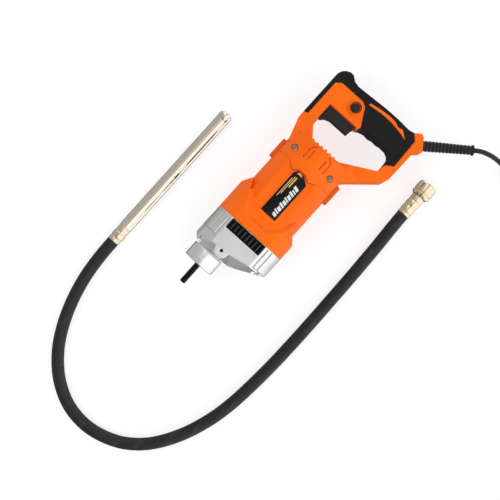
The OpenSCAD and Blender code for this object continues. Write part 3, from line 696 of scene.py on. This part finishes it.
UPPER_HOOK = [(133, 15.9), (145, 15.9), (150, 15.3), (154, 13), (156.2, 9), (155.4, 8)]
UPPER_BAR = [(134, 8.6), (149, 8.6)]
LOWER_HOOK = [(133, -21.6), (145, -21.6), (150, -21), (154, -18.7), (156.2, -14.5), (155.4, -13.5)]
LOWER_BAR = [(134, -13.6), (149, -13.6)]
HOOK_WIDTH = 2.3
HOOK_DEPTH = 2.2
SCREW_HOLE_R = 5.1
SCREW_HOLE_FROM = 33.5


def hook_groove(line):
    """Cutter for a groove in the round top of the handle's front, which is as thick as the barrel."""
    strip = prism(band(line, HOOK_WIDTH), 15, 60)
    return outside(strip, 100, 175, BARREL_R - HOOK_DEPTH)


def handle_shell(node, level):
    """One half of the handle, with the air outlet's grooves and the screws' holes. level is 1 or -1."""
    shell = copy_of(node)
    flip = Matrix.Translation((0, 0, 2 * TOOL.z)) @ Matrix.Scale(-1, 4, (0, 0, 1))
    for line in (UPPER_HOOK, UPPER_BAR, LOWER_HOOK, LOWER_BAR):
        groove = hook_groove(line)
        if level < 0:
            groove.data.transform(flip)
            groove.data.flip_normals()
        combine(shell, groove, "DIFFERENCE")
    for x, y in SCREWS:
        ends = sorted((level * SCREW_HOLE_FROM, level * 60))
        combine(shell, post(x, y, SCREW_HOLE_R, *ends), "DIFFERENCE")
    mould(shell, voxel=0.7, rounds=3)
    to_piece(shell, node, "tool", "orange_plastic")


handle_shell("handle_shell_upper", 1)
handle_shell("handle_shell_lower", -1)
moulded("rubber_grip_upper", "tool", "grip_rubber", voxel=0.7, rounds=4)
moulded("rubber_grip_lower", "tool", "grip_rubber", voxel=0.7, rounds=4)
crisp("grip_stripes", "tool", "orange_plastic", 0.4)


# ---- Nose

CASING_GROOVES = (47.4, 36.9, -37, -44.5)
CASING_GROOVE_R = 59
VENT_BARS = 10
VENT_PITCH = 6.9
VENT_HALF_BAR = 1
VENT_X = (-15.2, -3.2)
VENT_CAP = (50.7, 51.3)
BOSS_HOLE = Vector((-47.4, 12.8, LIE_Z))
BOSS_DEPTH = 11.5


def gear_casing():
    """The casting, with the grooves along its rounded upper and lower edges."""
    body = copy_of("gear_casing")
    for y in CASING_GROOVES:
        line = band([(-47, y), (-30, y), (-1.5, y)], 1.8)
        combine(body, outside(prism(line, 25, 60), -60, 10, CASING_GROOVE_R), "DIFFERENCE")
    mould(body, voxel=0.75, rounds=3)
    to_piece(body, "gear_casing", "tool", "cast_alloy")


gear_casing()
# The vents are dressed in the darker black, as painted shade in their slots.
crisp("air_vents", "tool", "black_plastic", 0.35, look="vent_black_painted_shade")


def vent_ribs():
    """Rounded caps on the bars between the vents' slots, in a lighter black as a painted highlight."""
    bm = bmesh.new()
    for level in (-1, 1):
        cap = sorted(level * z for z in VENT_CAP)
        for index in range(VENT_BARS):
            y = (index - (VENT_BARS - 1) / 2) * VENT_PITCH
            prism_mesh(bm, rectangle(*VENT_X, y - VENT_HALF_BAR, y + VENT_HALF_BAR), *cap)
    soften(make_object("vent_ribs", bm, "tool", "black_plastic", "vent_rib_painted_highlight"), 0.25)


def boss_thread():
    """Dark tapped sleeve in the casing's boss, open at the top."""
    bottom = -BOSS_DEPTH
    floor_x = 0.5 - BOSS_DEPTH
    profile = [(bottom, 0), (bottom, 2.7), (-0.4, 2.7), (-0.4, 2.1), (floor_x, 2.1), (floor_x, 0)]
    lathe("boss_thread", profile, TOOL + BOSS_HOLE, ALONG_Z, "tool", "black_steel", 32)


vent_ribs()
boss_thread()


def clamp_collar():
    """A turned ring with its slit and the hole for the pinch screw."""
    profile = [
        (-86.5, 15.9), (-86.5, 24.3), (-86.2, 24.9), (-85.5, 25.4), (-85, 25.5), (-64, 25.5),
        (-63, 25.2), (-62.5, 24.6), (-62.5, 20.1), (-66.1, 20.1), (-66.1, 12), (-67, 12),
        (-67, 15.5), (-86.1, 15.5),
    ]
    bm = bmesh.new()
    turned(bm, profile, Matrix.Translation(TOOL + Vector((0, SPINDLE_Y, 0))), 160, True)
    collar = scratch(bm)
    slit = prism(rectangle(-90, -60, SPINDLE_Y - 30, SPINDLE_Y - 8), -1.2, 1.2)
    combine(collar, slit, "DIFFERENCE")
    combine(collar, post(-74.5, SPINDLE_Y - 20.5, 4.6, -30, -9), "DIFFERENCE")
    piece = to_piece(collar, "clamp_collar", "tool", "machined_alloy")
    piece.data.set_sharp_from_angle(angle=math.radians(40))


clamp_collar()
crisp("pinch_screw", "tool", "zinc_steel", 0.25)
crisp("casing_screws", "tool", "zinc_steel", 0.25)
crisp("handle_screws", "tool", "zinc_steel", 0.3, look="dull_screw")
crisp("spindle", "output", "black_steel", 0.3)
crisp("label_plate", "tool", "label_black", 0.15)
moulded("brush_covers", "tool", "dark_orange_plastic", voxel=0.6, rounds=6)
moulded("trigger", "trigger", "trigger_plastic", voxel=0.5, rounds=5)
crisp("lock_button", "lock_button", "trigger_plastic", 0.8, 4)


# ---- Label print: plain bars

LABEL_Z = BARREL_FLAT + 0.6
PRINT_THICKNESS = 0.12
LEAN = 0.25
BLOCK_WIDTHS = (4.6, 2.6, 5.4, 3.4, 4.4, 2.4, 5.2, 3.6, 2.8, 4.8)
BLOCK_GAP = 1.5


def label_bar(name, outline, look):
    bm = bmesh.new()
    prism_mesh(bm, outline, LABEL_Z, LABEL_Z + PRINT_THICKNESS)
    make_object(name, bm, "tool", "label_black", look, smooth=False)


def slanted(x, y, width, height):
    lean = height * LEAN
    return [(x, y), (x + width, y), (x + width + lean, y + height), (x + lean, y + height)]


block_x = 40.0
for index, width in enumerate(BLOCK_WIDTHS):
    block = slanted(block_x, -12.4, width, 6.6 + 1.6 * (index % 2))
    label_bar(f"label_block_{index}", block, "label_white")
    block_x += width + BLOCK_GAP
label_bar("label_tip", [(109.2, 6.2), (112.4, 4), (112.4, -1), (109.2, -4)], "label_yellow")
label_bar("label_line_upper", slanted(66, 6.4, 34, 1.1), "label_cream")
label_bar("label_line_middle", slanted(72, 4, 32, 1.1), "label_cream")
label_bar("label_line_lower", slanted(86, 0.6, 18, 2), "label_yellow")


# ---- Flexible shaft's ends

FERRULE_PROFILE = [
    (0, 7.6), (0, 9.9), (0.5, 10.3), (3.8, 10.3), (4.4, 9.5), (5.6, 9.5), (6.6, 10.4),
    (10.5, 10.6), (14.2, 10.4), (15.2, 9.7), (16.2, 9.7), (17.2, 10.4), (21.5, 10.6), (25.2, 10.4),
    (26.2, 9.7), (27.2, 9.7), (28.2, 10.5), (35.8, 10.5), (36.5, 10), (36.5, 7.6),
]
NUT_PROFILE = [
    (37, 7.7), (37, 12.3), (38.4, 13.6), (40.4, 15), (42, 15), (42.7, 13.8), (44.3, 13.8),
    (45, 15), (56.8, 15), (58.4, 14.6), (59.8, 13.6), (60.5, 12.8), (60.5, 11.5), (45.2, 11.5),
    (45.2, 12), (41.8, 12), (41.8, 7.7),
]
HEAD_PROFILE = [
    (0, 8.1), (0, 9.2), (0.7, 9.7), (5, 9.7), (6, 9.0), (7, 9.1), (8.4, 10.3), (9, 10.4),
    (16, 10.4), (16.8, 9.7), (18.2, 9.5), (19.5, 9.7), (27.5, 9.7), (28, 9.5), (28, 8.1),
]
POKER_PROFILE = [(28, 8.3), (28, 9.8), (28.6, 10.4), (250.7, 10.4), (251, 10.1), (251, 8.3)]
TIP_PROFILE = [
    (243.2, 0), (243.2, 8.1), (251, 8.1), (251, 10.1), (251.3, 10.4), (260.2, 10.4), (260.7, 10.2),
    (263, 7.9), (263.4, 7.2), (263.4, 0),
]

fitting("hose_ferrule", FERRULE_PROFILE, COUPLING, "flexible_shaft", "pale_brass", 96, 0.25)
fitting("coupling_nut", NUT_PROFILE, COUPLING, "nut", "pale_brass", 128, 0.3)
fitting("head_ferrule", HEAD_PROFILE, POKER, "flexible_shaft", "pale_nickel", 96, 0.2)
fitting("poker_tube", POKER_PROFILE, POKER, "flexible_shaft", "polished_steel", 128, 0.15)
lathe(
    "poker_tip_look", TIP_PROFILE, FLOOR + POKER, ALONG_X, "flexible_shaft", "polished_steel", 128,
    replaces=("poker_tip",),
)


# ---- Polished fittings mirror the sky only, so their large and dark neighbours are left out of reflections

UNMIRRORED = (
    "motor_housing", "handle_shell_upper", "handle_shell_lower", "brush_covers", "rubber_grip_upper",
    "rubber_grip_lower", "grip_stripes", "strain_relief", "gear_casing", "air_vents", "label_plate",
    "hose",
)
for name in UNMIRRORED:
    bpy.data.objects[name + "_look"].visible_glossy = False


# ---- Floor, light and camera


FLOOR_REACH = 6
FLOOR_GLOW = 0.74


def floor():
    bm = bmesh.new()
    bmesh.ops.create_grid(bm, x_segments=1, y_segments=1, size=FLOOR_REACH)
    mesh = bpy.data.meshes.new("floor")
    bm.to_mesh(mesh)
    bm.free()
    obj = bpy.data.objects.new("floor", mesh)
    bpy.context.scene.collection.objects.link(obj)
    look = Look("floor")
    look.set("Base Color", look.mix(look.noise(3, 3), (0.3, 0.3, 0.3), (0.33, 0.33, 0.33)))
    look.set("Roughness", 0.85)
    look.set("Emission Color", (0.97, 0.97, 0.98, 1))
    look.set("Emission Strength", FLOOR_GLOW)
    mesh.materials.append(look.material)
    obj.visible_glossy = False


KEY_PLACE = Vector((-0.9, 0.7, 1.7))
KEY_SIZE = 1.0
KEY_POWER = 9


def key_lamp():
    """Soft light that aims at the frame's zero. Places are metres here."""
    data = bpy.data.lights.new("key", "AREA")
    data.shape = "RECTANGLE"
    data.size = KEY_SIZE
    data.size_y = KEY_SIZE
    data.energy = KEY_POWER
    obj = bpy.data.objects.new("key", data)
    obj.location = KEY_PLACE
    obj.rotation_mode = "QUATERNION"
    obj.visible_glossy = False
    obj.rotation_quaternion = (-KEY_PLACE).to_track_quat("-Z", "Y")
    bpy.context.scene.collection.objects.link(obj)


BRIGHT_SIDE = (0.72, -0.69, 0.1)
ACROSS_TOOL = (0, 1, 0)
UP = (0, 0, 1)


def studio():
    """Bright sky on one side and dimmer on the other, with a thin dark band overhead and a dark ground."""
    world = bpy.data.worlds.new("studio")
    world.use_nodes = True
    tree = world.node_tree
    background = tree.nodes["Background"]
    place = tree.nodes.new("ShaderNodeTexCoord").outputs["Generated"]

    def toward(direction):
        node = tree.nodes.new("ShaderNodeVectorMath")
        node.operation = "DOT_PRODUCT"
        node.inputs[1].default_value = Vector(direction).normalized()
        tree.links.new(place, node.inputs[0])
        return node.outputs["Value"]

    def spread(value, low, high, a, b):
        node = tree.nodes.new("ShaderNodeMapRange")
        node.interpolation_type = "SMOOTHSTEP"
        for name, number in (("From Min", low), ("From Max", high), ("To Min", a), ("To Max", b)):
            node.inputs[name].default_value = number
        tree.links.new(value, node.inputs["Value"])
        return node.outputs["Result"]

    def product(first, second):
        node = tree.nodes.new("ShaderNodeMath")
        node.operation = "MULTIPLY"
        tree.links.new(first, node.inputs[0])
        tree.links.new(second, node.inputs[1])
        return node.outputs["Value"]

    across = toward(ACROSS_TOOL)
    side = spread(toward(BRIGHT_SIDE), -0.2, 0.2, 0.5, 1.3)
    ground = spread(toward(UP), -0.9, -0.45, 0.25, 1)
    overhead = spread(product(across, across), 0.002, 0.018, 0.2, 1)
    strength = product(product(side, ground), overhead)
    background.inputs["Color"].default_value = (1, 1, 1, 1)
    tree.links.new(strength, background.inputs["Strength"])
    bpy.context.scene.world = world


# The camera looks straight down. Its height is in metres and its place in tool millimetres.
ROLL = math.radians(48)
CAMERA_AT = Vector((-19.05, -17.55, 0))
CAMERA_HEIGHT = 1.4
LENS = 64.7
SENSOR = 36


def camera():
    data = bpy.data.cameras.new("camera")
    data.lens = LENS
    data.sensor_width = SENSOR
    data.dof.use_dof = False
    obj = bpy.data.objects.new("camera", data)
    bpy.context.scene.collection.objects.link(obj)
    spot = (FLOOR + CAMERA_AT) * MM
    right = Vector((math.cos(ROLL), -math.sin(ROLL), 0))
    up = Vector((math.sin(ROLL), math.cos(ROLL), 0))
    turn = Matrix((right, up, Vector((0, 0, 1)))).transposed()
    obj.matrix_world = Matrix.Translation((spot.x, spot.y, CAMERA_HEIGHT)) @ turn.to_4x4()
    bpy.context.scene.camera = obj


floor()
studio()
key_lamp()
camera()
bpy.context.scene.view_settings.view_transform = "Standard"
